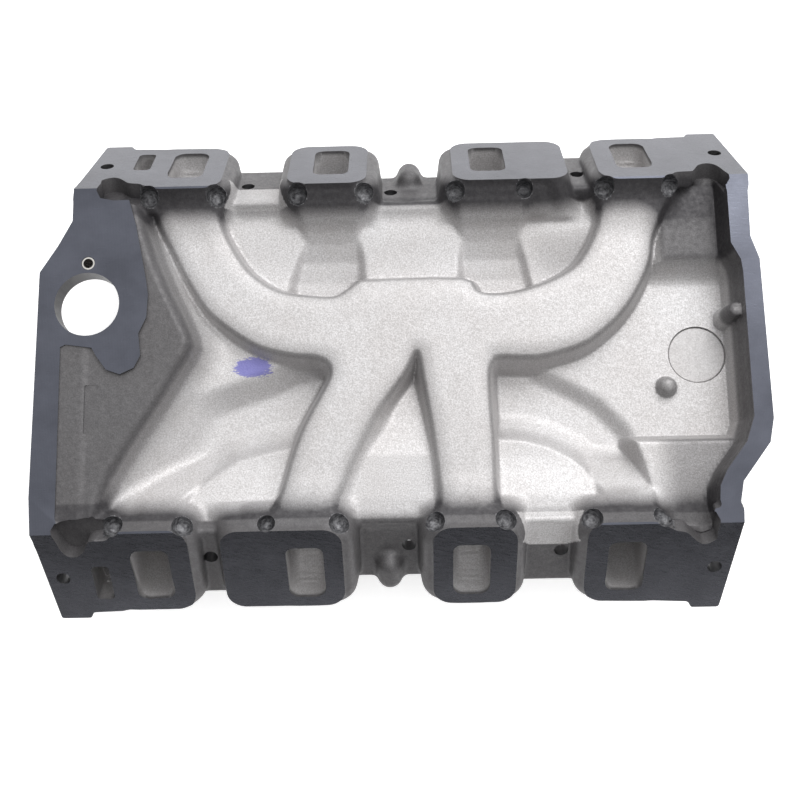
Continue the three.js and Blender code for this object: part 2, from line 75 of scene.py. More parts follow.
PRISM_REACH = 15.0
POST_EDGE = 2.0  # rounding of a post's rims
PRISM_EDGE = 1.5
DRAFT = 0.05  # how far a prism's sides draw in for each millimetre down
DUCT_STEPS = 14  # straight pieces in each span of a duct's path
TAPER = (0.12, 0.625)  # shares of a duct's path between which its section changes

# ---------- The grid ----------
half = np.array([297.0, 207.0])
xs = np.arange(-half[0], half[0] + 0.1, STEP, dtype=np.float32)
ys = np.arange(-half[1], half[1] + 0.1, STEP, dtype=np.float32)
zs = np.arange(-6.0, RAIL + 6.0, STEP, dtype=np.float32)
X2, Y2 = np.meshgrid(xs, ys, indexing="ij")
X = xs[:, None, None]
Y = ys[None, :, None]
Z = zs[None, None, :]
SHAPE = (len(xs), len(ys), len(zs))


# ---------- Field helpers ----------
def smooth_min(a, b, k):
    """The lower of two distances, blended where they differ by less than k."""
    h = np.maximum(k - np.abs(a - b), 0.0) / k
    return np.minimum(a, b) - h * h * k * 0.25


def smooth_max(a, b, k):
    return -smooth_min(-a, -b, k)


def ramp(v, low, high):
    """0 below low, 1 above high, smooth between; low may be the greater one."""
    t = np.clip((v - low) / (high - low), 0.0, 1.0)
    return t * t * (3.0 - 2.0 * t)


def polygon_distance(points, px, py):
    """Signed distance to a closed polygon, negative inside."""
    p = np.asarray(points, np.float32)
    best = np.full(px.shape, 1e9, np.float32)
    inside = np.zeros(px.shape, bool)
    for (x0, y0), (x1, y1) in zip(p, np.roll(p, -1, axis=0)):
        ex, ey = x1 - x0, y1 - y0
        wx, wy = px - x0, py - y0
        t = np.clip((wx * ex + wy * ey) / max(ex * ex + ey * ey, 1e-9), 0.0, 1.0)
        best = np.minimum(best, (wx - ex * t) ** 2 + (wy - ey * t) ** 2)
        if y0 != y1:
            crosses = ((y0 <= py) != (y1 <= py)) & (px < ex * (py - y0) / (y1 - y0) + x0)
            inside ^= crosses
    return np.where(inside, -1.0, 1.0).astype(np.float32) * np.sqrt(best)


def span(four, count):
    """Points from the second of four to just before the third, on a Catmull-Rom curve."""
    a, b, c, d = four
    slope, bend, twist = c - a, 2 * a - 5 * b + 4 * c - d, 3 * b - a - 3 * c + d
    spots = np.linspace(0, 1, count, endpoint=False)
    return [0.5 * (2 * b + slope * t + bend * t * t + twist * t**3) for t in spots]


def curve_through(points, count):
    """Points along a smooth open line through the given ones, count of them for each span."""
    p = np.asarray(points, np.float64)
    ends = np.vstack([2 * p[0] - p[1], p, 2 * p[-1] - p[-2]])
    out = []
    for i in range(len(p) - 1):
        out += span(ends[i : i + 4], count)
    out.append(p[-1])
    return np.array(out)


def smooth_outline(points, count):
    """A smooth closed outline through the given points, count points for each span."""
    loop = np.asarray([points[-1], *points, points[0], points[1]], float)
    out = []
    for i in range(len(points)):
        out += span(loop[i : i + 4], count)
    return out


def near(points, reach):
    """Slices of the grid within reach of the points."""
    low = np.min(points, axis=0) - reach
    high = np.max(points, axis=0) + reach
    cuts = []
    for axis, values in enumerate((xs, ys, zs)):
        i0 = int(np.searchsorted(values, low[axis]))
        i1 = int(np.searchsorted(values, high[axis]))
        cuts.append(slice(i0, max(i1, i0 + 1)))
    return tuple(cuts)


def local(cuts):
    """The grid's coordinates within the slices."""
    return X[cuts[0]], Y[:, cuts[1]], Z[:, :, cuts[2]]


def flat_distance(du, dv):
    """Distance to a rectangle, from how far a point lies beyond its sides each way."""
    return np.sqrt(np.maximum(du, 0) ** 2 + np.maximum(dv, 0) ** 2) + np.minimum(np.maximum(du, dv), 0)


def box_distance(dx, dy, dz, r):
    """Distance to a rounded box, from how far a point lies beyond its inner box each way."""
    outside = np.sqrt(np.maximum(dx, 0) ** 2 + np.maximum(dy, 0) ** 2 + np.maximum(dz, 0) ** 2)
    return outside + np.minimum(np.maximum(np.maximum(dx, dy), dz), 0.0) - r


def add_box(field, x0, y0, z0, x1, y1, z1, r, k=0.0):
    """A box with edges of radius r, blended in over k."""
    cuts = near([(x0, y0, z0), (x1, y1, z1)], REACH)
    lx, ly, lz = local(cuts)
    dx = np.abs(lx - (x0 + x1) / 2) - (x1 - x0) / 2 + r
    dy = np.abs(ly - (y0 + y1) / 2) - (y1 - y0) / 2 + r
    dz = np.abs(lz - (z0 + z1) / 2) - (z1 - z0) / 2 + r
    d = box_distance(dx, dy, dz, r)
    field[cuts] = smooth_min(field[cuts], d, k) if k else np.minimum(field[cuts], d)


def add_post(field, x, y, radius, z0, z1, k):
    """An upright round post between two heights."""
    cuts = near([(x - radius, y - radius, z0), (x + radius, y + radius, z1)], REACH)
    lx, ly, lz = local(cuts)
    side = np.sqrt((lx - x) ** 2 + (ly - y) ** 2) - radius
    d = smooth_max(side, np.abs(lz - (z0 + z1) / 2) - (z1 - z0) / 2, POST_EDGE)
    field[cuts] = smooth_min(field[cuts], d, k)


def add_prism(field, outline, z0, z1, k, inset=0.0):
    """An outline in plan, between two heights, its sides drafted."""
    d2 = polygon_distance(outline, X2, Y2)[:, :, None] + inset
    middle, high = (z0 + z1) / 2, (z1 - z0) / 2
    cuts = near([(xs[0], ys[0], z0), (xs[-1], ys[-1], z1)], PRISM_REACH)
    lz = Z[:, :, cuts[2]]
    d = smooth_max(d2 - DRAFT * (lz - z1), np.abs(lz - middle) - high, PRISM_EDGE)
    field[cuts] = smooth_min(field[cuts], d, k)


def add_duct(field, path, start, end, corner):
    """A round-cornered duct along a path; its half width and half height change from start to end."""
    line = curve_through(path, DUCT_STEPS)
    count = len(line) - 1
    for i in range(count):
        a, b = line[i], line[i + 1]
        t = float(ramp(np.float64((i + 0.5) / count), *TAPER))
        w = start[0] + (end[0] - start[0]) * t
        h = start[1] + (end[1] - start[1]) * t
        axis = b - a
        length = np.linalg.norm(axis)
        axis /= length
        side = np.cross((0, 0, 1), axis)
        side /= np.linalg.norm(side)
        up = np.cross(axis, side)
        cuts = near([a, b], max(w, h) + DUCT_REACH)
        lx, ly, lz = local(cuts)
        px, py, pz = lx - (a[0] + b[0]) / 2, ly - (a[1] + b[1]) / 2, lz - (a[2] + b[2]) / 2
        r = min(corner, w, h)
        da = np.abs(px * axis[0] + py * axis[1] + pz * axis[2]) - length / 2 - 1.5
        ds = np.abs(px * side[0] + py * side[1] + pz * side[2]) - w + r
        du = np.abs(px * up[0] + py * up[1] + pz * up[2]) - h + r
        section = flat_distance(ds, du) - r
        field[cuts] = np.minimum(field[cuts], flat_distance(section, da))


def blank():
    return np.full(SHAPE, FAR, np.float32)


# ---------- The valley side, as heights above the rail plane ----------
LOWER_RUNNERS = [
    (-199, 145), (-198, 118), (-186, 92), (-177, 73), (-166, 54), (-154, 37), (-132, 19), (-111, 7),
    (-87, 1), (-68, -1), (-58, -6), (-56, -14), (-60, -24), (-75, -51), (-85, -75), (-96, -113),
    (-101, -127), (-104, -145), (-52, -145), (-54, -129), (-51, -114), (-38, -83), (-21, -50), (4, -17),
    (11, -3), (14, 2), (16, -3), (18, -18), (25, -65), (30, -115), (28, -129), (26, -145), (76, -145),
    (75, -128), (75, -79), (74, -52), (73, -19), (76, -7), (82, -4), (110, -5), (130, -1), (153, 7),
    (176, 25), (193, 46), (207, 74), (211, 95), (221, 120), (227, 145), (170, 145), (167, 116), (160, 96),
    (147, 75), (126, 62), (99, 53), (77, 51), (65, 54), (53, 65), (-26, 65), (-34, 63), (-42, 57),
    (-53, 51), (-80, 53), (-100, 58), (-121, 73), (-135, 94), (-145, 116), (-149, 145),
]
BANK_WEB = [(-152, 145), (-150, 100), (-120, 50), (-50, 40), (60, 40), (140, 50), (168, 100), (172, 145)]
T2_ROOF = [
    (-80, 145), (-79, 120), (-74, 101), (-75, 86), (-82, 62), (-84, 40), (-34, 40), (-32, 60), (-31, 80),
    (-30, 120), (-30, 145),
]
T3_ROOF = [(50, 145), (50, 120), (52, 100), (54, 76), (56, 40), (110, 40), (99, 84), (102, 120), (104, 145)]
B1_ROOF = [
    (-240, -145), (-232, -126), (-215, -102), (-192, -73), (-169, -55), (-136, -43), (-100, -31),
    (-80, -22), (-40, -15), (-80, -73), (-100, -77), (-129, -84), (-152, -99), (-163, -111), (-170, -123),
    (-172, -145),
]
FRONT_PLATEAU = [
    (-172, -145), (-170, -123), (-163, -111), (-152, -99), (-129, -84), (-100, -77), (-70, -72),
    (-90, -145),
]
B4_ROOF = [
    (66, -10), (100, -11), (107, -23), (133, -36), (153, -48), (172, -68), (184, -92), (197, -117),
    (203, -145), (155, -145), (154, -119), (152, -109), (145, -96), (135, -87), (118, -78), (97, -72),
    (66, -70),
]
REAR_PLATEAU = [
    (66, -70), (97, -72), (118, -78), (135, -87), (145, -96), (152, -109), (154, -119), (155, -145),
    (66, -145),
]
WEDGE = [(-60, -145), (-45, -90), (10, 10), (16, 10), (32, -90), (34, -145)]
REAR_BLOCK_PLUS = [(216, 77), (285, 77), (285, 150), (222, 150)]
REAR_BLOCK_MINUS = [(187, -72), (285, -72), (285, -150), (206, -150), (200, -120), (193, -90)]
RIDGE = [
    (-241, -150), (-241, -139), (-236, -111), (-230, -95), (-215, -69), (-195, -38), (-178, -9), (-171, 2),
    (-168, 10), (-170, 18), (-175, 29), (-186, 51), (-198, 79), (-206, 103), (-212, 128), (-214, 150),
]
CROSSOVER_TOP = RIDGE + [(-310, 150), (-310, -150)]
FRONT_EDGE = [(-263, 141), (-263, 113), (-274, 92), (-288, 70), (-289, -112), (-287, -141)]
FRONT_MACHINED = FRONT_EDGE + [
    (-268, -141), (-268, -131), (-269, 8), (-265, 10), (-244, 7), (-240, 0), (-232, -11), (-221, -15),
    (-210, -10), (-205, 0), (-207, 18), (-201, 31), (-200, 50), (-202, 63), (-211, 108), (-219, 136),
    (-224, 139.5), (-243, 139.5), (-246, 141),
]
REAR_OUTER = [(285, 141), (284, 88), (290, 69), (291, -60), (287, -79), (264, -109), (261, -124), (262, -141)]
REAR_INNER = [
    (249, -141), (245, -123), (246, -112), (252, -100), (269, -78), (276, -58), (276, 59), (275, 69),
    (268, 83), (268, 141),
]
REAR_RAIL = REAR_OUTER + REAR_INNER
REAR_WALL = REAR_INNER + [(x + 8, y) for x, y in reversed(REAR_INNER)]
SIGHT = (10.5, -198.6, 971.1)  # the eye that the valley outlines are drawn for
SIGHT_LEVEL = 14.0  # below the rails, the level that they are drawn on


def at_depth(outline, depth):
    """An outline carried along its sight lines to a deeper level."""
    share = (SIGHT[2] - RAIL + depth) / (SIGHT[2] - RAIL + SIGHT_LEVEL)
    return [(SIGHT[0] + (x - SIGHT[0]) * share, SIGHT[1] + (y - SIGHT[1]) * share) for x, y in outline]


def profile(values, along):
    """Heights read off a table of position to height."""
    keys = sorted(values)
    return np.interp(along, keys, [values[key] for key in keys]).astype(np.float32)


def stamp(height, outline, level, slope=1.9, shoulder=5.0, fillet=12.0, falls=None):
    """Sets the height inside an outline; outside, the height may leave the level only along drafted sides."""
    d = polygon_distance(outline, X2, Y2)
    if callable(slope):
        slope = slope(*np.gradient(d, STEP))
    fillet = np.maximum(fillet * ramp(d, -shoulder, shoulder), 0.01)
    out = np.where(d < -shoulder, 0.0, np.where(d > shoulder, d, (d + shoulder) ** 2 / (4 * shoulder)))
    drop = falls(out) if falls else slope * out
    height = smooth_max(height, level - drop, fillet)
    return smooth_min(height, level + drop, fillet)


def runner_walls(towards_x, towards_y):
    """Steep sides, but for the one that leans into the wedge between the two middle runners."""
    return 4.6 - 3.1 * ramp(towards_x, 0.3, 0.7) * ramp(-Y2, 18, 60) * (X2 < 12)


def wall_of_crossover(out):
    """The crossover falls steeply at first, then at nearly 45 degrees."""
    return 2.3 * np.minimum(out, 8.5) + 0.95 * np.maximum(out - 8.5, 0.0)


def valley_heights():
    """Height of the valley side above the rail plane, over the whole plan."""
    h = np.full(X2.shape, -35.0, np.float32) - 8.0 * ramp(X2, 0, 100)
    web = -28.5 - 8.0 * ramp(-Y2, -126, -66) - 7.0 * ramp(X2, 95, 125) * ramp(-Y2, -110, -66)
    h = stamp(h, BANK_WEB, web, fillet=8)
    plus_roof = {140: -12, 127: -12, 115: -20, 100: -33, 86: -42, 70: -47, 50: -49}
    h = stamp(h, at_depth(T2_ROOF, 38), profile(plus_roof, Y2), slope=1.8, shoulder=2.5, fillet=4)
    h = stamp(h, at_depth(T3_ROOF, 38), profile(plus_roof, Y2), slope=1.8, shoulder=2.5, fillet=4)
    rise = profile({-140: -12, -127: -13, -115: -22, -100: -33, -86: -44, -70: -60}, Y2)
    plateau = -28.5 - 6.5 * ramp(Y2, -128, -78)
    for roof, level_land in ((B1_ROOF, FRONT_PLATEAU), (B4_ROOF, REAR_PLATEAU)):
        basin = -43.0 - 10.0 * ramp(polygon_distance(level_land, X2, Y2), 2, 30)
        h = stamp(h, at_depth(roof, 44), smooth_max(rise, basin, 8), slope=1.0, shoulder=3, fillet=4)
    h = stamp(h, at_depth(FRONT_PLATEAU, 33), plateau, slope=1.2, shoulder=1.5, fillet=2.5)
    h = stamp(h, at_depth(REAR_PLATEAU, 33), plateau, slope=1.2, shoulder=1.5, fillet=2.5)
    h = stamp(h, REAR_BLOCK_PLUS, np.full_like(h, -25.0), slope=1.6)
    h = stamp(h, REAR_BLOCK_MINUS, np.full_like(h, -25.0), slope=3.5, shoulder=2.5, fillet=4)
    h = stamp(h, WEDGE, -28.0 - 17.0 * np.clip((Y2 + 80) / 72, 0, 1), slope=3, fillet=4)
    runners = smooth_outline(LOWER_RUNNERS, 3)
    from_edge = np.clip(-polygon_distance(runners, X2, Y2) / 16.0, 0.0, 1.0)
    roof = -15.5 + 4.0 * ramp(np.abs(Y2), 92, 128) - 2.6 * (1.0 - from_edge) ** 2
    h = stamp(h, runners, roof, slope=runner_walls, shoulder=3.5, fillet=6)
    h = stamp(h, CROSSOVER_TOP, np.full_like(h, -2.2), shoulder=4.5, fillet=9, falls=wall_of_crossover)
    rail = np.full_like(h, 3.0)
    inner = REAR_INNER + [(320, 141), (320, -141)]
    h = smooth_max(h, rail - 6.0 * np.maximum(polygon_distance(inner, X2, Y2) + 1.0, 0), 6)
    boss = np.sqrt((X2 - 219) ** 2 + (Y2 + 26) ** 2)
    h = smooth_max(h, -31.0 - 0.07 * boss**2 - 2.6 * np.maximum(boss - 6.5, 0), 3.5)
    wall_boss = np.sqrt((X2 - 271) ** 2 + (Y2 - 30) ** 2)
    return smooth_max(h, -7.0 - 9.0 * np.maximum(wall_boss - 6.0, 0), 4)


H = valley_heights()


# ---------- Flange of one bank, for +Y; the other bank is the same turned half round ----------
NARROW_END = [
    (-262.9, -8), (-240, -8), (-240, 0), (-243, 17), (-235, 21.5), (-228, 18), (-220, 9.5), (-209, 6),
    (-200, 0), (-151, 0), (-147, 4), (-145.3, 10), (-145.3, 63), (-148, 74), (-157, 78.5), (-229, 83),
    (-232.5, 89.5), (-254.8, 89.5),
]
WIDE_END = [
    (286, -8), (286, 0), (279, 89.5), (255, 89.5), (252, 83.5), (228, 82.5), (221, 80.5), (181, 80),
    (171, 76), (168.4, 66), (168.4, 12), (170, 5), (178, 0), (219, 0), (228, 7), (243, 8), (249, 19),
    (257, 23.5), (264, 20), (268.5, 0), (268.5, -8),
]
PADS = [(-205, -145.3, 14), (-89.5, -24.3, 15), (47, 141.5, 15), (168.4, 228, 14)]
LOBES = [(-195, -137), (-96, -16), (38, 136), (160, 218)]  # cast shoulders that stand out beside the pads
LOBE_CORNER = 20
TABS = [(-150, -85, -20), (-30, 52, -28), (136, 174, -13)]  # from, to, level of the face
LUG = (11.0, 66.0, -27.0)  # round lug below the middle tab: along the flange, down the slope, level
SPARE = 4.0  # metal left above a head face, to be milled off


def flange():
    """The flange of the +Y bank as a distance field over the whole grid."""
    field = blank()
    y0 = int(np.searchsorted(ys, 84.0))
    part = (slice(None), slice(y0, None), slice(None))
    lx, ly, lz = X, Y[:, y0:], Z
    s, t = ly - FOOT_Y, lz - RAIL
    a = (s - t) * C45
    n = (s + t) * C45
    f = np.full(field[part].shape, FAR, np.float32)
    for left, right, r in PADS:
        middle, hw = (left + right) / 2, (right - left) / 2
        u = np.abs(lx - middle) / (1.0 + PAD_FLARE * np.clip(-n, 0, PAD_DEPTH) / PAD_DEPTH) - hw + r
        v = np.abs(a - 40.0) - 40.0 + r
        flat = flat_distance(u, v) - r
        f = np.minimum(f, smooth_max(flat, np.maximum(n - SPARE, -n - PAD_DEPTH), 3.0))
    for left, right in LOBES:
        u = np.abs(lx - (left + right) / 2) - (right - left) / 2 + LOBE_CORNER
        v = np.abs(a - 41.0) - 41.0 + LOBE_CORNER
        flat = flat_distance(u, v) - LOBE_CORNER
        f = smooth_min(f, smooth_max(flat + 0.12 * n, np.maximum(n + 1.5, -n - PAD_DEPTH), 9.0), 1.0)
    for left, right, level in TABS:
        u = np.abs(lx - (left + right) / 2) - (right - left) / 2
        v = np.abs(a - 43.0) - 33.0
        w = np.abs(n - (level - 6.0)) - 6.0
        f = smooth_min(f, box_distance(u + 3, v + 3, w + 3, 3.0), 2.5)
    along = np.maximum(np.abs(a - LUG[1]) - 6.0, 0)
    below = 0.55 * np.minimum(n - LUG[2], 0)
    above = np.maximum(n - LUG[2], 0)
    lug = np.sqrt((lx - LUG[0]) ** 2 + along**2 + below**2 + above**2 * 0.75) - 10.5
    f = smooth_min(f, lug, 6.0)
    field[part] = f
    return field


def behind_scallop(left, right):
    """Metal behind a scallop in the front corners, so that the recess has a floor."""
    s, t = Y - FOOT_Y, Z - RAIL
    a, n = (s - t) * C45, (s + t) * C45
    u = np.abs(X - (left + right) / 2) - (right - left) / 2
    return box_distance(u + 4, np.abs(a - 14.0) - 14.0, np.abs(n + 13.0) - 7.0, 4.0)


def end_plates():
    """The two flange ends of the +Y bank, whose outlines lie in the head face."""
    field = blank()
    y0 = int(np.searchsorted(ys, 84.0))
    part = (slice(None), slice(y0, None), slice(None))
    s, t = Y[:, y0:] - FOOT_Y, Z - RAIL
    a_axis = np.arange(-60.0, 200.0, STEP, dtype=np.float32)
    xa, aa = np.meshgrid(xs, a_axis, indexing="ij")
    a = (s - t) * C45
    n = (s + t) * C45
    index = np.clip((a[0] - a_axis[0]) / STEP, 0, len(a_axis) - 1.001)
    low = index.astype(int)
    frac = (index - low).astype(np.float32)
    for outline in (NARROW_END, WIDE_END):
        flat = polygon_distance(outline, xa, aa)
        value = flat[:, low] * (1 - frac) + flat[:, low + 1] * frac
        d = smooth_max(value, np.maximum(n - SPARE, -n - 15.0), 1.5)
        field[part] = np.minimum(field[part], d)
    return field


def turned(field):
    """The same field turned half round about the vertical."""
    return field[::-1, ::-1, :]


# ---------- Ducts ----------
def face_point(x, slope, depth, bank):
    """A point a given way down the slope of a head face and below it."""
    y = FOOT_Y + (slope - depth) * C45
    z = RAIL - (slope + depth) * C45
    return (x, y * bank, z)


PORTS_MINUS_Y = [-x for x in reversed(PORTS_PLUS_Y)]
LOW, HIGH = 38.0, 84.0  # middles of the ducts to the near and the far plenum, below the rails
ROUTES = [
    (PORTS_PLUS_Y[0], 1, 0,
     [(-173, 120, LOW + 1), (-156, 74, LOW), (-116, 34, LOW), (-62, 27, LOW), (-40, 27, LOW)]),
    (PORTS_PLUS_Y[1], 1, 1, [(-57, 98, 72), (-70, 56, HIGH), (-72, 12, HIGH), (-34, -26, HIGH)]),
    (PORTS_PLUS_Y[2], 1, 1, [(76, 98, 72), (76, 56, HIGH), (73, 12, HIGH), (34, -26, HIGH)]),
    (PORTS_PLUS_Y[3], 1, 0,
     [(195, 120, LOW + 1), (178, 68, LOW), (140, 33, LOW), (74, 28, LOW), (44, 28, LOW)]),
    (PORTS_MINUS_Y[0], -1, 1, [(-184, -96, 70), (-158, -70, 76), (-112, -52, HIGH - 2), (-34, -30, HIGH)]),
    (PORTS_MINUS_Y[1], -1, 0, [(-76, -120, LOW + 1), (-62, -72, LOW), (-40, -32, LOW), (-12, 30, LOW)]),
    (PORTS_MINUS_Y[2], -1, 0, [(54, -120, LOW + 1), (51, -72, LOW), (48, -32, LOW), (44, 30, LOW)]),
    (PORTS_MINUS_Y[3], -1, 1, [(168, -96, 70), (148, -72, 76), (106, -48, HIGH - 2), (34, -30, HIGH)]),
]


def passages():
    """The eight runners and the two plenums that they meet in."""
    field = blank()
    for port, bank, upper, via in ROUTES:
        throat = 32.0 if upper else 12.0
        path = [face_point(port, PORT_SLOPE, -8, bank), face_point(port, PORT_SLOPE, throat, bank)]
        path += [(x, y, RAIL - depth) for x, y, depth in via]
        end = (16.5, 13.5) if upper else (20.5, 16.5)
        add_duct(field, path, PORT_HALF, end, 9.0)
    add_box(field, -48, 3.5, -8, 48, 45.5, RAIL - 23, 8)
    add_box(field, -48, -50, -8, 48, -3.5, 44, 8)
    add_box(field, -40, 2, 69.5, 62, 45.5, RAIL - 23, 10)
    return field


WATER_ROUTE = [(-212, 116, 71), (-198, 62, 93), (-194, -4, 93), (-215, -62, 93), (-238, -116, 71)]


def water_path(end):
    """The water crossover from face to face; its ends lie at the given depth."""
    plus = [face_point(-215, 53, d, 1) for d in (end, 22)]
    minus = [face_point(-239, 51, d, -1) for d in (22, end)]
    return plus + WATER_ROUTE + minus


SKIN_REGION = [
    (-283, -148), (-205, -148), (-205, -134), (205, -134), (205, -148), (258, -148), (257, -118),
    (282, -78), (286, -60), (285, 69), (280, 88), (281, 148), (205, 148), (205, 134), (-205, 134),
    (-205, 148), (-259, 148), (-259, 113), (-270, 92), (-283, 70),
]


# ---------- The casting as one field ----------
ducts = passages()
water = blank()
add_duct(water, water_path(6), (7.0, 17), (6.5, 17), 5.0)


def casting_field():
    """The whole casting before machining."""
    body = ducts - WALL
    gradient_x, gradient_y = np.gradient(H, STEP)
    steep = np.sqrt(1.0 + gradient_x**2 + gradient_y**2)
    top = (Z - RAIL - H[:, :, None]) / steep[:, :, None]
    inside = polygon_distance(SKIN_REGION, X2, Y2)[:, :, None]
    skin = smooth_max(np.maximum(top, -top - 7.0), inside, 4.0)
    body = smooth_min(body, skin, 9.0)
    shell = blank()
    add_duct(shell, water_path(14), (20, 22.5), (20, 22.5), 9.0)
    body = smooth_min(body, shell, 8.0)
    x, y = THERMOSTAT
    add_post(body, x, y, 33, 28, 100, k=10)
    add_box(body, x - 13, y - 54, 26, x + 13, y + 54, 44, 6, k=8)
    add_box(body, -83, -78, -4, 83, 78, 14, 4, k=6)
    for x, y, radius, bore, seat, top_of_boss in PLUGS:
        add_post(body, x, y, radius, seat - 10, top_of_boss, k=8)
    add_post(body, DISTRIBUTOR[0], DISTRIBUTOR[1], 33, RAIL - 18, RAIL - 4, k=6)
    add_post(body, CORE_PLUG[0], CORE_PLUG[1], 29, RAIL - 60, RAIL - 47, k=6)
    body = smooth_max(body, top, 1.5)
    one = flange()
    body = smooth_min(body, one, 7.0)
    body = smooth_min(body, turned(one), 7.0)
    plates = end_plates()
    body = smooth_min(body, plates, 5.0)
    body = smooth_min(body, turned(plates), 5.0)
    body = smooth_min(body, behind_scallop(-252, -198), 3.0)
    body = smooth_min(body, turned(behind_scallop(222, 272)), 3.0)
    add_prism(body, FRONT_EDGE + [(-250, -141), (-250, 141)], RAIL - 14, RAIL - 3, k=6, inset=1.5)
    add_prism(body, REAR_RAIL, RAIL - 14, RAIL - 1, k=3, inset=1.5)
    add_prism(body, REAR_WALL, RAIL - 51, RAIL - 4, k=3)
    body = np.maximum(body, -ducts)
    body = np.maximum(body, -water)
    return body


def polygonise(field):
    """The zero surface of a field as points in millimetres and quads."""
    level = np.clip(field, -3 * STEP, 3 * STEP).astype(np.float32)
    grid = openvdb.FloatGrid(3 * STEP)
    grid.copyFromArray(level)
    points, quads = grid.convertToQuads(isovalue=0.0)
    points = points * STEP + np.array([xs[0], ys[0], zs[0]])
    return points, quads


field = casting_field()
points, quads = polygonise(field)
print("polygonised", len(points), "points", len(quads), "quads")


def make_mesh(name, verts, faces):
    """A mesh in metres from points in millimetres."""
    mesh = bpy.data.meshes.new(name)
    mesh.vertices.add(len(verts))
    mesh.vertices.foreach_set("co", (np.asarray(verts, np.float32) * MM).ravel())
    faces = np.asarray(faces, np.int32)
    count, corners = faces.shape
    mesh.loops.add(count * corners)
    mesh.loops.foreach_set("vertex_index", faces.ravel())
    mesh.polygons.add(count)
    mesh.polygons.foreach_set("loop_start", np.arange(count, dtype=np.int32) * corners)
    mesh.update(calc_edges=True)
    mesh.validate()
    return mesh


def signed_volume(verts, faces):
    a, b, c = (verts[faces[:, i]] for i in range(3))
    return float(np.einsum("ij,ij->i", a, np.cross(b, c)).sum())


if signed_volume(points, quads) < 0:
    quads = quads[:, ::-1]


def largest_piece(verts, faces):
    """Keeps the connected surface with the most faces: small sealed voids are solid metal."""
    parent = np.arange(len(verts))
    for _ in range(200):
        low = parent[faces].min(axis=1)
        before = parent.copy()
        for i in range(faces.shape[1]):
            np.minimum.at(parent, faces[:, i], low)
        parent = parent[parent]
        if (parent == before).all():
            break
    labels, counts = np.unique(parent[faces[:, 0]], return_counts=True)
    keep = parent[faces[:, 0]] == labels[counts.argmax()]
    kept = faces[keep]
    used = np.unique(kept)
    renumber = np.zeros(len(verts), np.int64)
    renumber[used] = np.arange(len(used))
    return verts[used], renumber[kept]


points, quads = largest_piece(points, quads)
casting = bpy.data.objects.new("casting_body", make_mesh("casting_body", points, quads))
bpy.context.scene.collection.objects.link(casting)


# ---------- Machining ----------
def cutter(name, build):
    """A closed object built by a function into a new bmesh."""
    bm = bmesh.new()
    build(bm)
    mesh = bpy.data.meshes.new(name)
    bmesh.ops.triangulate(bm, faces=bm.faces)
    bm.to_mesh(mesh)
    bm.free()
    obj = bpy.data.objects.new(name, mesh)
    bpy.context.scene.collection.objects.link(obj)
    return obj


def prism_into(bm, outline, z0, z1, place=Matrix.Identity(4)):
    """An outline in plan, in millimetres, made solid between two heights, then placed."""
    area = sum(x0 * y1 - x1 * y0 for (x0, y0), (x1, y1) in zip(outline, outline[1:] + outline[:1]))
    if area < 0:
        outline = outline[::-1]
    low = [bm.verts.new(place @ Vector((x * MM, y * MM, z0 * MM))) for x, y in outline]
    high = [bm.verts.new(place @ Vector((x * MM, y * MM, z1 * MM))) for x, y in outline]
    count = len(outline)
    bm.faces.new(low[::-1])
    bm.faces.new(high)
    for i in range(count):
        j = (i + 1) % count
        bm.faces.new((low[i], low[j], high[j], high[i]))


def circle(x, y, radius, count):
    angles = [2 * math.pi * i / count for i in range(count)]
    return [(x + radius * math.cos(angle), y + radius * math.sin(angle)) for angle in angles]


def rounded(x0, y0, x1, y1, r, count=6):
    """A rectangle with round corners."""
    out = []
    corners = ((x1 - r, y0 + r, -90), (x1 - r, y1 - r, 0), (x0 + r, y1 - r, 90), (x0 + r, y0 + r, 180))
    for cx, cy, start in corners:
        for i in range(count + 1):
            angle = math.radians(start + 90 * i / count)
            out.append((cx + r * math.cos(angle), cy + r * math.sin(angle)))
    return out


def face_place(bank):
    """Face coordinates: x along the flange, y down the slope, z out of the head face."""
    tilt = Matrix.Translation((0, FOOT_Y * MM, RAIL * MM)) @ Matrix.Rotation(-math.pi / 4, 4, "X")
    return tilt if bank > 0 else Matrix.Rotation(math.pi, 4, "Z") @ tilt


def apply_cut(obj, tool, operation="DIFFERENCE"):
    """Cuts, or joins, the tool's shape and removes the tool."""
    modifier = obj.modifiers.new("cut", "BOOLEAN")
    modifier.operation = operation
    modifier.solver = "MANIFOLD"
    modifier.object = tool
    depsgraph = bpy.context.evaluated_depsgraph_get()
    result = bpy.data.meshes.new_from_object(obj.evaluated_get(depsgraph))
    before = len(obj.data.polygons)
    obj.modifiers.remove(modifier)
    old = obj.data
    obj.data = result
    bpy.data.meshes.remove(old)
    bpy.data.objects.remove(tool)
    print("cut", before, "->", len(result.polygons))


def rails(bm):
    """The crisp edges of the two end rails."""
    prism_into(bm, FRONT_MACHINED, RAIL - 15, RAIL + 2)
    prism_into(bm, REAR_RAIL, RAIL - 15, RAIL + 2)


def slabs(bm):
    """All that lies above the rails and below the carburettor face."""
    wide = rounded(-330, -260, 330, 260, 5, 2)
    prism_into(bm, wide, RAIL, RAIL + 30)
    prism_into(bm, wide, -30, 0)


def face_slabs(bm):
    """All that lies outside the head faces."""
    for bank in (1, -1):
        prism_into(bm, rounded(-330, -34, 330, 200, 5, 2), 0, 60, face_place(bank))


TAB_HOLES = [(-127, 43), (-5, 42), (153, 37), (-245.5, 45.5), (269.5, 45.5)]
HOLE_RADIUS = 5.6


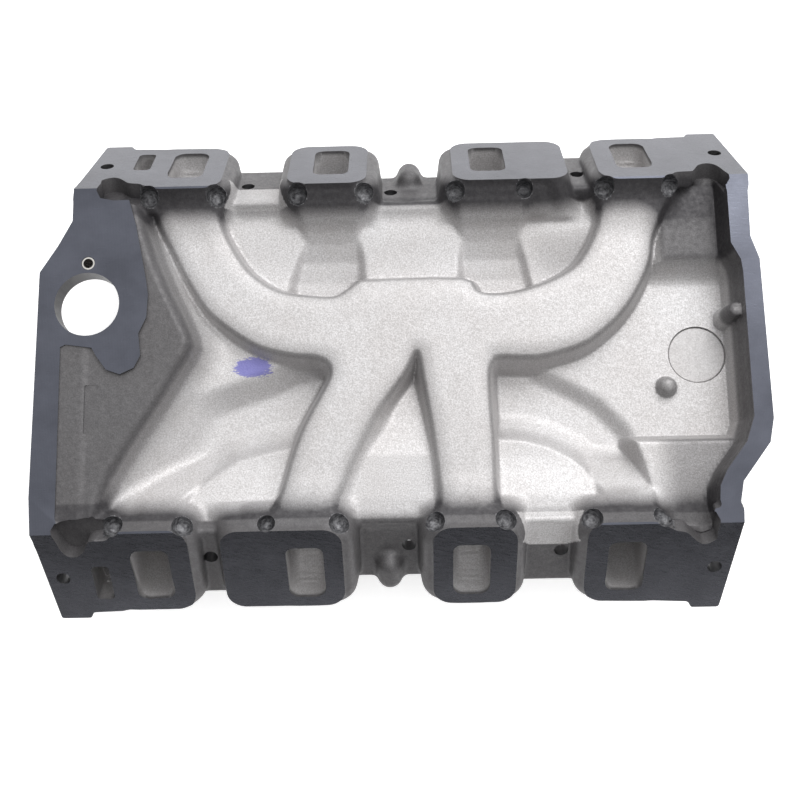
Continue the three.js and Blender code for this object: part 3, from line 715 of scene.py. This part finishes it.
def mouths(bm):
    """The ports and the two water slots, where they open in the head faces."""
    half_w, half_h = PORT_HALF
    for bank in (1, -1):
        for port in PORTS_PLUS_Y:
            outline = rounded(port - half_w, PORT_SLOPE - half_h, port + half_w, PORT_SLOPE + half_h, 6.5)
            prism_into(bm, outline, -10, 5, face_place(bank))
    prism_into(bm, rounded(-222, 36, -207.5, 70, 4), -26, 5, face_place(1))
    prism_into(bm, rounded(232, 33.5, 246, 69, 4), -26, 5, face_place(-1))


SCALLOPS = (
    [(230, -6), (230, 5), (243, 8), (249, 19), (257, 23.5), (264, 20), (268, 8), (268, -6)],
    [(-241, -6), (-243, 10), (-243, 17), (-235, 21.5), (-228, 18), (-220, 9.5), (-209, 6), (-206, -6)],
)


def scallops(bm):
    """Cast recesses that break the edge between the rails and the head faces."""
    for bank in (1, -1):
        for outline in SCALLOPS:
            prism_into(bm, smooth_outline(outline, 3), -13, 6, face_place(bank))


def holes(bm):
    """The head bolt holes, square to the head faces."""
    for bank in (1, -1):
        for x, slope in TAB_HOLES:
            prism_into(bm, circle(x, slope, HOLE_RADIUS, 28), -62, 5, face_place(bank))


def upright_holes(bm):
    """The upright bores, and the sunk rectangle of the front rail."""
    x, y, r = DISTRIBUTOR
    prism_into(bm, circle(x, y, r, 72), 40, RAIL + 5)
    prism_into(bm, circle(-249, 77, STUD_RADIUS, 28), RAIL - 14 - GAP, RAIL + 5)
    prism_into(bm, rounded(-249, -62, -239, -23, 1.0, 2), RAIL - 2.8, RAIL + 1)
    x, y, r = CORE_PLUG
    prism_into(bm, circle(x, y, r + GAP, 72), 74.1, RAIL)
    for sx in (-1, 1):
        for sy in (-1, 1):
            prism_into(bm, circle(sx * STUD_HALF[0], sy * STUD_HALF[1], STUD_RADIUS, 24), -5, 12.7)
    x, y = THERMOSTAT
    prism_into(bm, circle(x, y, 22, 48), 20, 102)
    for side in (-1, 1):
        prism_into(bm, circle(x, y + side * 42, STUD_RADIUS, 24), 20, 40.7)
    for x, y, boss, bore, seat, top in PLUGS:
        prism_into(bm, circle(x, y, bore + GAP, 32), seat - 20, seat + GAP)


def ball_into(bm, x, y, z, r):
    """A ball-nosed plunge from above."""
    rings, count = 7, 24
    levels = []
    for i in range(1, rings + 1):
        angle = math.pi / 2 * i / rings
        levels.append((r * math.sin(angle), z - r * math.cos(angle)))
    levels.append((r, RAIL + 6))
    loops = [[bm.verts.new(Vector((x, y, z - r)) * MM)]]
    for radius, height in levels:
        loops.append([bm.verts.new(Vector((px, py, height)) * MM) for px, py in circle(x, y, radius, count)])
    for j in range(count):
        k = (j + 1) % count
        bm.faces.new((loops[0][0], loops[1][k], loops[1][j]))
        for low, high in zip(loops[1:], loops[2:]):
            bm.faces.new((low[j], low[k], high[k], high[j]))
    bm.faces.new(loops[-1])


RELIEFS = [(-203, 8.5), (-147, 8.5), (-81, 8.5), (-25, 8.5), (48, 8.5), (105, 7), (170, 8.5), (225, 8.5)]
RELIEF_Y = 134.5
RELIEF_Z = RAIL - 9


def reliefs(bm):
    """Ball-nosed spot cuts beside the pads."""
    for bank in (1, -1):
        for x, r in RELIEFS:
            ball_into(bm, x * bank, RELIEF_Y * bank, RELIEF_Z, r)


apply_cut(casting, cutter("rails", rails), "UNION")
apply_cut(casting, cutter("slabs", slabs))
apply_cut(casting, cutter("face_slabs", face_slabs))
apply_cut(casting, cutter("mouths", mouths))
apply_cut(casting, cutter("scallops", scallops))
apply_cut(casting, cutter("holes", holes))
apply_cut(casting, cutter("upright_holes", upright_holes))
apply_cut(casting, cutter("reliefs", reliefs))


# ---------- Finishes of the casting ----------
def node_material(name):
    """A new material, with its node tree and its shader node."""
    material = bpy.data.materials.new(name)
    material.use_nodes = True
    tree = material.node_tree
    shader = tree.nodes["Principled BSDF"]
    return material, tree, shader


def add_node(tree, kind, **settings):
    """A node; a setting is an input where the node has one of that name, and a property otherwise."""
    node = tree.nodes.new(kind)
    for key, value in settings.items():
        if key in node.inputs.keys():
            node.inputs[key].default_value = value
        else:
            setattr(node, key, value)
    return node


def noise(tree, coords, scale, detail=3.0, roughness=0.55, stretch=None):
    source = coords
    if stretch:
        mapping = add_node(tree, "ShaderNodeMapping")
        mapping.inputs["Scale"].default_value = stretch
        tree.links.new(coords, mapping.inputs["Vector"])
        source = mapping.outputs["Vector"]
    node = add_node(tree, "ShaderNodeTexNoise", Scale=scale, Detail=detail, Roughness=roughness)
    tree.links.new(source, node.inputs["Vector"])
    return node.outputs["Fac"]


def mix_colour(tree, factor, a, b, blend="MIX"):
    node = add_node(tree, "ShaderNodeMix", data_type="RGBA", blend_type=blend)
    for socket, value in ((node.inputs[0], factor), (node.inputs[6], a), (node.inputs[7], b)):
        if isinstance(value, (int, float, tuple)):
            socket.default_value = value
        else:
            tree.links.new(value, socket)
    return node.outputs[2]


def spread(tree, value, low, high, to_low=0.0, to_high=1.0):
    """A value carried from one range to another, held at its ends."""
    node = add_node(tree, "ShaderNodeMapRange")
    node.inputs["From Min"].default_value = low
    node.inputs["From Max"].default_value = high
    node.inputs["To Min"].default_value = to_low
    node.inputs["To Max"].default_value = to_high
    tree.links.new(value, node.inputs["Value"])
    return node.outputs["Result"]


def bumped(tree, shader, layers):
    """Adds bumps, each a height socket, its strength and its depth in metres."""
    normal = None
    for height, strength, distance in layers:
        bump = add_node(tree, "ShaderNodeBump", Strength=strength, Distance=distance)
        tree.links.new(height, bump.inputs["Height"])
        if normal:
            tree.links.new(normal, bump.inputs["Normal"])
        normal = bump.outputs["Normal"]
    tree.links.new(normal, shader.inputs["Normal"])


# Near-black that the vertex attribute mixes in: painted shade, with some darker tone of the metal.
SHADE_TONE_COLOUR = (0.028, 0.0262, 0.0300, 1)
INK = (0.15, 0.145, 0.46, 1)
INK_CENTRE = (-0.121, -0.004)
INK_HALF = (0.0158, 0.0082)


def ink_dab(tree, coords):
    """A mask of one dab of marking ink with a ragged edge, on the front web."""
    mapping = add_node(tree, "ShaderNodeMapping")
    mapping.inputs["Location"].default_value = tuple(-c / h for c, h in zip(INK_CENTRE, INK_HALF)) + (0,)
    mapping.inputs["Scale"].default_value = tuple(1 / h for h in INK_HALF) + (0,)
    tree.links.new(coords, mapping.inputs["Vector"])
    reach = add_node(tree, "ShaderNodeVectorMath", operation="LENGTH")
    tree.links.new(mapping.outputs["Vector"], reach.inputs[0])
    ragged = noise(tree, coords, 420.0, 4.0, 0.7, (0.5, 1.6, 1.0))
    edge = add_node(tree, "ShaderNodeMath", operation="ADD")
    tree.links.new(reach.outputs["Value"], edge.inputs[0])
    tree.links.new(spread(tree, ragged, 0.3, 0.7, -0.25, 0.35), edge.inputs[1])
    return spread(tree, edge.outputs[0], 0.95, 1.1, 0.85, 0.0)


def cast_material(name, light, dark, grain, rough):
    """Shot-blasted cast aluminium; a vertex attribute darkens it with painted shade and with some darker tone
    of the metal itself.
    """
    material, tree, shader = node_material(name)
    coords = add_node(tree, "ShaderNodeTexCoord").outputs["Object"]
    fine = noise(tree, coords, 900.0, 2.0, 0.6)
    medium = noise(tree, coords, 260.0, 3.0, 0.6)
    broad = noise(tree, coords, 14.0, 4.0, 0.6)
    speck = spread(tree, fine, 0.35, 0.68)
    mottled = mix_colour(tree, speck, dark, light)
    patches = mix_colour(tree, spread(tree, broad, 0.35, 0.7), (0.90, 0.885, 0.875, 1), (1, 1, 1, 1))
    cast = mix_colour(tree, 1.0, mottled, patches, "MULTIPLY")
    # The attribute mixes the cast colour towards the near-black: painted shade, and some darker tone of the
    # metal.
    shade_and_tone = add_node(tree, "ShaderNodeAttribute", attribute_name="painted_shade_and_tone").outputs["Fac"]
    noisy = add_node(tree, "ShaderNodeMath", operation="MULTIPLY")
    tree.links.new(shade_and_tone, noisy.inputs[0])
    tree.links.new(spread(tree, medium, 0.25, 0.75, 0.97, 1.03), noisy.inputs[1])
    colour = mix_colour(tree, noisy.outputs[0], cast, SHADE_TONE_COLOUR)
    colour = mix_colour(tree, ink_dab(tree, coords), colour, INK)
    tree.links.new(colour, shader.inputs["Base Color"])
    shader.inputs["Metallic"].default_value = 0.4
    tree.links.new(spread(tree, medium, 0.3, 0.7, rough - 0.06, rough + 0.08), shader.inputs["Roughness"])
    bumped(tree, shader, [(medium, 0.35, 0.0005 * grain), (fine, 0.5, 0.00025 * grain)])
    return material


def machined_material(name, colour, rough, direction=0.0):
    """A milled face: fine passes of the cutter, a few stains and scratches."""
    material, tree, shader = node_material(name)
    coords = add_node(tree, "ShaderNodeTexCoord").outputs["Object"]
    mapping = add_node(tree, "ShaderNodeMapping")
    mapping.inputs["Rotation"].default_value = (0, 0, direction)
    tree.links.new(coords, mapping.inputs["Vector"])
    passes = add_node(tree, "ShaderNodeTexWave", Scale=260.0, Distortion=1.6, Detail=2.0)
    passes.inputs["Detail Scale"].default_value = 0.4
    tree.links.new(mapping.outputs["Vector"], passes.inputs["Vector"])
    scratches = noise(tree, mapping.outputs["Vector"], 90.0, 5.0, 0.7, (1.0, 14.0, 1.0))
    stains = noise(tree, coords, 22.0, 5.0, 0.65)
    stained = tuple(0.72 * c for c in colour[:3]) + (1,)
    bright = tuple(min(1.0, 1.8 * c) for c in colour[:3]) + (1,)
    shade = mix_colour(tree, spread(tree, stains, 0.3, 0.72), stained, colour)
    shade = mix_colour(tree, spread(tree, scratches, 0.66, 0.8, 0.0, 0.5), shade, bright)
    tree.links.new(shade, shader.inputs["Base Color"])
    shader.inputs["Metallic"].default_value = 0.95
    tree.links.new(spread(tree, scratches, 0.3, 0.75, rough - 0.05, rough + 0.1), shader.inputs["Roughness"])
    bumped(tree, shader, [(passes.outputs["Fac"], 0.12, 0.00012), (scratches, 0.05, 0.00005)])
    return material


def chattered_material(name, light, dark):
    """Walls left by a ball-nosed cutter that chattered: ragged, with bright and dark flecks."""
    material, tree, shader = node_material(name)
    coords = add_node(tree, "ShaderNodeTexCoord").outputs["Object"]
    coarse = noise(tree, coords, 260.0, 4.0, 0.65, (1.0, 1.0, 2.2))
    fine = noise(tree, coords, 900.0, 3.0, 0.6)
    shade = mix_colour(tree, spread(tree, coarse, 0.38, 0.66), dark, light)
    tree.links.new(shade, shader.inputs["Base Color"])
    shader.inputs["Metallic"].default_value = 0.8
    tree.links.new(spread(tree, fine, 0.3, 0.7, 0.42, 0.6), shader.inputs["Roughness"])
    bumped(tree, shader, [(coarse, 0.9, 0.0012), (fine, 0.5, 0.0003)])
    return material


MATERIALS = [
    cast_material("cast_blasted", (0.72, 0.712, 0.722, 1), (0.48, 0.469, 0.468, 1), 1.0, 0.52),
    # The milled and bored faces get near-black colours: painted shade standing in for the dark surroundings
    # that bright milled aluminium reflects.
    machined_material("milled_rail", (0.095, 0.10, 0.122, 1), 0.30),
    machined_material("milled_head_face", (0.115, 0.117, 0.133, 1), 0.26, 0.2),
    machined_material("bored", (0.16, 0.16, 0.165, 1), 0.42, 1.2),
    chattered_material("spot_cut", (0.26, 0.26, 0.27, 1), (0.07, 0.07, 0.075, 1)),
]


CAST, MILLED_RAIL, MILLED_FACE, BORED, SPOT_CUT = range(len(MATERIALS))
ON_PLANE = 0.15  # how near a plane, in millimetres, a face counts as lying on it
SQUARE = 0.98  # least cosine between a face's normal and the plane's


def classify(mesh):
    """Material index of each face, from where it lies."""
    count = len(mesh.polygons)
    centre = np.empty(count * 3, np.float32)
    normal = np.empty(count * 3, np.float32)
    mesh.polygons.foreach_get("center", centre)
    mesh.polygons.foreach_get("normal", normal)
    centre = centre.reshape(-1, 3) * 1000
    normal = normal.reshape(-1, 3)
    kind = np.full(count, CAST, np.int32)
    kind[(centre[:, 2] > RAIL - ON_PLANE) & (normal[:, 2] > SQUARE)] = MILLED_RAIL
    kind[(centre[:, 2] < ON_PLANE) & (normal[:, 2] < -SQUARE)] = MILLED_RAIL
    for bank in (1, -1):
        out = ((centre[:, 1] * bank - FOOT_Y) + (centre[:, 2] - RAIL)) * C45
        faces_out = (normal[:, 1] * bank + normal[:, 2]) * C45
        kind[(np.abs(out) < ON_PLANE) & (faces_out > SQUARE)] = MILLED_FACE
        slope = ((centre[:, 1] * bank - FOOT_Y) - (centre[:, 2] - RAIL)) * C45
        for x, s in TAB_HOLES:
            from_axis = np.hypot(centre[:, 0] * bank - x, slope - s)
            kind[(from_axis < HOLE_RADIUS + ON_PLANE) & (out > -60) & (out < 0)] = BORED
        for x, r in RELIEFS:
            reach = np.hypot(centre[:, 0] - x * bank, centre[:, 1] - RELIEF_Y * bank)
            ball = np.sqrt(reach**2 + np.minimum(centre[:, 2] - RELIEF_Z, 0) ** 2)
            kind[(np.abs(ball - r) < 0.25) & (centre[:, 2] > RAIL - 20)] = SPOT_CUT
    x, y, r = DISTRIBUTOR
    kind[np.abs(np.hypot(centre[:, 0] - x, centre[:, 1] - y) - r) < 0.2] = BORED
    return kind


def cell(value, axis):
    """Index of the grid line nearest to each value."""
    return np.clip(((value - axis[0]) / STEP).round().astype(int), 0, len(axis) - 1)


def blurred(values, times):
    """The values smoothed over their neighbours, a number of times."""
    out = values.copy()
    for _ in range(times):
        out[1:-1] = (out[:-2] + 2 * out[1:-1] + out[2:]) / 4
        out[:, 1:-1] = (out[:, :-2] + 2 * out[:, 1:-1] + out[:, 2:]) / 4
    return out


def shade_and_tone(mesh):
    """How dark each point is, from 0, blasted bright, to 1: painted shade on the banks, ridge, steep sides
    and rear web, with some darker tone of the metal itself.
    """
    count = len(mesh.vertices)
    co = np.empty(count * 3, np.float32)
    mesh.vertices.foreach_get("co", co)
    x, y, z = (co.reshape(-1, 3) * 1000).T
    depth = RAIL - z
    steep = blurred(np.hypot(*np.gradient(np.clip(H, -60, 0), STEP)).astype(np.float32), int(9 / STEP))
    # Darker near both banks: partly painted shade under the overhanging pad flanges, partly a darker smudged
    # tone of the casting there; strongest on the high surfaces.
    near_bank = ramp(np.abs(y), 96, 131)
    dark = 0.60 * near_bank * ramp(-depth, -32, -8) + 0.40 * ramp(np.abs(y), 110, 131)
    # Painted shade on steep sides; the high runner roofs also get a slightly darker tone of their own.
    dark += 0.22 * ramp(steep, 0.6, 2.2)[cell(x, xs), cell(y, ys)] + 0.06 * ramp(-depth, -24, -17)
    ridge = polygon_distance(RIDGE + [(-320, 150), (-320, -150)], x, y)
    # Painted shade on the wall that falls from the crossover ridge; this term also reaches over the plate.
    dark += 0.34 * ramp(-ridge, -24, -4)
    # Darker over the +Y rear corner.
    dark += 0.30 * ramp(x, 214, 220) * ramp(y, 75, 81)
    # Painted shade on the rounded shoulders along the edges of the lower runners' roofs.
    runner_edge = -polygon_distance(LOWER_RUNNERS, x, y)
    shoulder_shade = (1.0 - np.clip(runner_edge / 15.0, 0, 1)) ** 2
    dark += 0.24 * shoulder_shade * (runner_edge > -3) * ramp(-depth, -26, -20)
    # Painted shade at the rear end, on the rear blocks and the rear wall, whose inner sides face away from
    # the light.
    dark += 0.55 * ramp(x, 195, 225) * ramp(-depth, -34, -25)
    # The round boss is darker all over.
    dark += 0.35 * (np.hypot(x - 219, y + 26) < 9)
    # The crossover plate is held dark: its own darker cast tone, with painted shade on the top of the wall
    # below the ridge.
    dark = np.maximum(dark, 0.85 * ramp(-ridge, -10, -1))
    # Painted shade on the cast flanks under the pads, lobes and tabs: deepest on the +Y bank, whose flanks
    # face away from the light, a little less far out from the face.
    bands = ramp(np.abs(y), 129.0, 131.5)
    behind = ramp(np.abs(y), 140.0, 145.0)
    plus_flank_shade = 0.95 - 0.10 * behind
    dark = dark * (1 - bands) + np.where(y > 0, plus_flank_shade, 0.84) * bands
    # The rounded edge under the first tab takes less painted shade than the flanks round it, least on the -Y
    # bank.
    roll = (np.abs(y) < 152) & (np.abs(y) > 128) & (np.abs(x * np.sign(y) + 117.5) < 33) & (z < 108)
    dark = np.where(roll, np.where(y > 0, 0.3, 0.08), dark)
    # In the ports and water passages the value is set afresh: little darkening inside, strong darkening
    # within 7 mm of the mouths.
    rim = ramp(np.abs(y) + z - FOOT_Y - RAIL, -7.0, -2.0)
    hollow = np.minimum(ducts, water)[cell(x, xs), cell(y, ys), cell(z, zs)]
    dark = np.where(hollow < 2.0, 0.12 + 0.7 * rim, dark)
    attribute = mesh.attributes.new("painted_shade_and_tone", "FLOAT", "POINT")
    attribute.data.foreach_set("value", np.clip(dark, 0, 0.95).astype(np.float32))


casting.data.materials.clear()
for material in MATERIALS:
    casting.data.materials.append(material)
casting.data.polygons.foreach_set("material_index", classify(casting.data))
casting.data.polygons.foreach_set("use_smooth", np.ones(len(casting.data.polygons), bool))
casting.data.set_sharp_from_angle(angle=math.radians(38))
shade_and_tone(casting.data)
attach(casting, "root")
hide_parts("manifold_casting")


# ---------- Screwed and pressed pieces ----------
def turned_metal(name, light, dark, metallic, rough):
    """Turned or plated metal with a fine, slightly stained surface."""
    material, tree, shader = node_material(name)
    coords = add_node(tree, "ShaderNodeTexCoord").outputs["Object"]
    fine = noise(tree, coords, 500.0, 3.0, 0.6)
    broad = noise(tree, coords, 60.0, 4.0, 0.6)
    shade = mix_colour(tree, spread(tree, broad, 0.3, 0.7), dark, light)
    tree.links.new(shade, shader.inputs["Base Color"])
    shader.inputs["Metallic"].default_value = metallic
    tree.links.new(spread(tree, fine, 0.3, 0.7, rough - 0.05, rough + 0.1), shader.inputs["Roughness"])
    bumped(tree, shader, [(fine, 0.25, 0.0001)])
    return material


HARDWARE = {
    "insert": turned_metal("thread_insert_steel", (0.62, 0.60, 0.57, 1), (0.42, 0.41, 0.39, 1), 1.0, 0.28),
    "plug": turned_metal("pipe_plug_brass", (0.60, 0.46, 0.23, 1), (0.36, 0.27, 0.14, 1), 1.0, 0.36),
    "nipple": turned_metal("zinc_plated_tube", (0.66, 0.63, 0.56, 1), (0.47, 0.45, 0.40, 1), 1.0, 0.30),
    "core": cast_material("core_plug_satin", (0.62, 0.61, 0.615, 1), (0.47, 0.46, 0.46, 1), 0.7, 0.5),
}
for name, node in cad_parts.items():
    kind = next((key for key in ("insert", "nipple", "core") if key in name), "plug")
    if name != "manifold_casting":
        node.data.materials.clear()
        node.data.materials.append(HARDWARE[kind])


# ---------- Floor, light and camera ----------
def make_floor():
    """A plain white sheet under the part."""
    bm = bmesh.new()
    bmesh.ops.create_grid(bm, x_segments=2, y_segments=2, size=4.0)
    mesh = bpy.data.meshes.new("floor")
    bm.to_mesh(mesh)
    bm.free()
    floor = bpy.data.objects.new("floor", mesh)
    floor.location = (0, 0, -0.0005)
    bpy.context.scene.collection.objects.link(floor)
    material, _, shader = node_material("floor_paper")
    shader.inputs["Base Color"].default_value = (0.93, 0.93, 0.93, 1)
    shader.inputs["Roughness"].default_value = 0.8
    shader.inputs["Emission Color"].default_value = (1, 1, 1, 1)
    shader.inputs["Emission Strength"].default_value = 0.55
    mesh.materials.append(material)


LIGHT_FROM = (0.40, 0.56, 0.73)


def make_world():
    """Soft studio light, brighter towards the back right."""
    world = bpy.data.worlds.new("studio")
    bpy.context.scene.world = world
    world.use_nodes = True
    tree = world.node_tree
    coords = add_node(tree, "ShaderNodeTexCoord").outputs["Generated"]
    towards = add_node(tree, "ShaderNodeVectorMath", operation="DOT_PRODUCT")
    towards.inputs[1].default_value = LIGHT_FROM
    tree.links.new(coords, towards.inputs[0])
    level = spread(tree, towards.outputs["Value"], -0.25, 1.0, 0.01, 1.75)
    background = tree.nodes["Background"]
    tree.links.new(level, background.inputs["Strength"])
    background.inputs["Color"].default_value = (1, 1, 1, 1)


def area_light(name, place, target, size, power):
    """A rectangular lamp turned towards a point."""
    light = bpy.data.lights.new(name, "AREA")
    light.shape = "RECTANGLE"
    light.size, light.size_y = size
    light.energy = power
    obj = bpy.data.objects.new(name, light)
    bpy.context.scene.collection.objects.link(obj)
    obj.location = place
    obj.rotation_euler = (Vector(target) - Vector(place)).to_track_quat("-Z", "Y").to_euler()


EYE = (0.010514, -0.198569, 0.9711)
EYE_ANGLES = (79.393, -3.643, -4.733)  # degrees: down from level, round from +Y, and roll


def make_camera():
    """The view from nearly overhead."""
    elevation, yaw, roll = (math.radians(angle) for angle in EYE_ANGLES)
    heading = Vector((math.sin(yaw), math.cos(yaw), 0))
    forward = math.cos(elevation) * heading - math.sin(elevation) * Vector((0, 0, 1))
    level = Vector((math.cos(yaw), -math.sin(yaw), 0))
    above = level.cross(forward)
    right = math.cos(roll) * level + math.sin(roll) * above
    up = -math.sin(roll) * level + math.cos(roll) * above
    camera = bpy.data.cameras.new("camera")
    camera.lens = 49.47
    camera.sensor_width = 36.0
    obj = bpy.data.objects.new("camera", camera)
    turn = Matrix((right, up, -forward)).transposed().to_4x4()
    obj.matrix_world = Matrix.Translation(EYE) @ turn
    bpy.context.scene.collection.objects.link(obj)
    bpy.context.scene.camera = obj
    bpy.context.scene.view_settings.view_transform = "Standard"


make_floor()
make_world()
area_light("key", (0.5, 0.9, 1.3), (0, 0, 0.05), (0.9, 0.7), 9)
make_camera()
